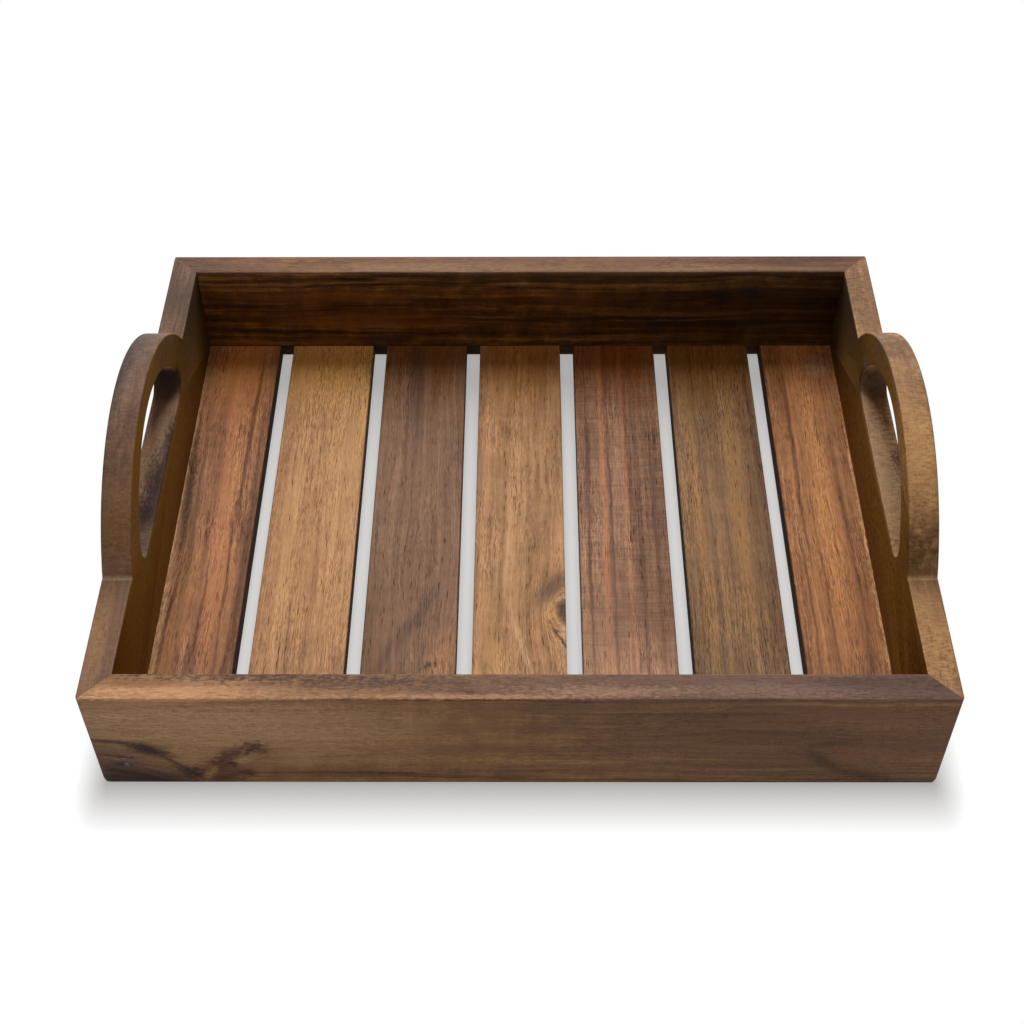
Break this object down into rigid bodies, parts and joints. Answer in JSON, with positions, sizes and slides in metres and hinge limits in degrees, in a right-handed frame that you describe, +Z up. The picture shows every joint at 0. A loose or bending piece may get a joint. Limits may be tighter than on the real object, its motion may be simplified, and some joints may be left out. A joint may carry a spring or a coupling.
{
  "type": "slatted serving tray",
  "caption": "Rectangular wooden serving tray with mitred walls, a deck of spaced slats, and arched side boards with D-shaped hand slots.",
  "frame": {"origin": "middle of the footprint, on the surface that the tray stands on", "axes": "+Z up, +X towards the right handle board, -Y towards the front rail"},
  "size_m": [0.356, 0.278, 0.1015],
  "materials": {
    "acacia_front_rail": "oiled satin",
    "acacia_back_rail": "oiled satin",
    "acacia_left_handle_board": "oiled satin",
    "acacia_right_handle_board": "oiled satin",
    "acacia_slat_1": "oiled satin",
    "acacia_slat_2": "oiled satin",
    "acacia_slat_3": "oiled satin",
    "acacia_slat_4": "oiled satin",
    "acacia_slat_5": "oiled satin",
    "acacia_slat_6": "oiled satin",
    "acacia_slat_7": "oiled satin",
    "spline_wood": "sawn, glued",
    "brad_steel": "bright drawn wire"
  },
  "bodies": {
    "root": {"front_rail": "acacia_front_rail", "back_rail": "acacia_back_rail", "left_handle_board": "acacia_left_handle_board", "right_handle_board": "acacia_right_handle_board", "slat_1": "acacia_slat_1", "slat_2": "acacia_slat_2", "slat_3": "acacia_slat_3", "slat_4": "acacia_slat_4", "slat_5": "acacia_slat_5", "slat_6": "acacia_slat_6", "slat_7": "acacia_slat_7", "corner_spline_front_left": "spline_wood", "corner_spline_front_right": "spline_wood", "corner_spline_back_left": "spline_wood", "corner_spline_back_right": "spline_wood", "brad_front_1": "brad_steel", "brad_front_2": "brad_steel", "brad_front_3": "brad_steel", "brad_front_4": "brad_steel", "brad_front_5": "brad_steel", "brad_front_6": "brad_steel", "brad_front_7": "brad_steel", "brad_front_8": "brad_steel", "brad_front_9": "brad_steel", "brad_front_10": "brad_steel", "brad_front_11": "brad_steel", "brad_front_12": "brad_steel", "brad_front_13": "brad_steel", "brad_front_14": "brad_steel", "brad_back_1": "brad_steel", "brad_back_2": "brad_steel", "brad_back_3": "brad_steel", "brad_back_4": "brad_steel", "brad_back_5": "brad_steel", "brad_back_6": "brad_steel", "brad_back_7": "brad_steel", "brad_back_8": "brad_steel", "brad_back_9": "brad_steel", "brad_back_10": "brad_steel", "brad_back_11": "brad_steel", "brad_back_12": "brad_steel", "brad_back_13": "brad_steel", "brad_back_14": "brad_steel"}
  },
  "joints": []
}
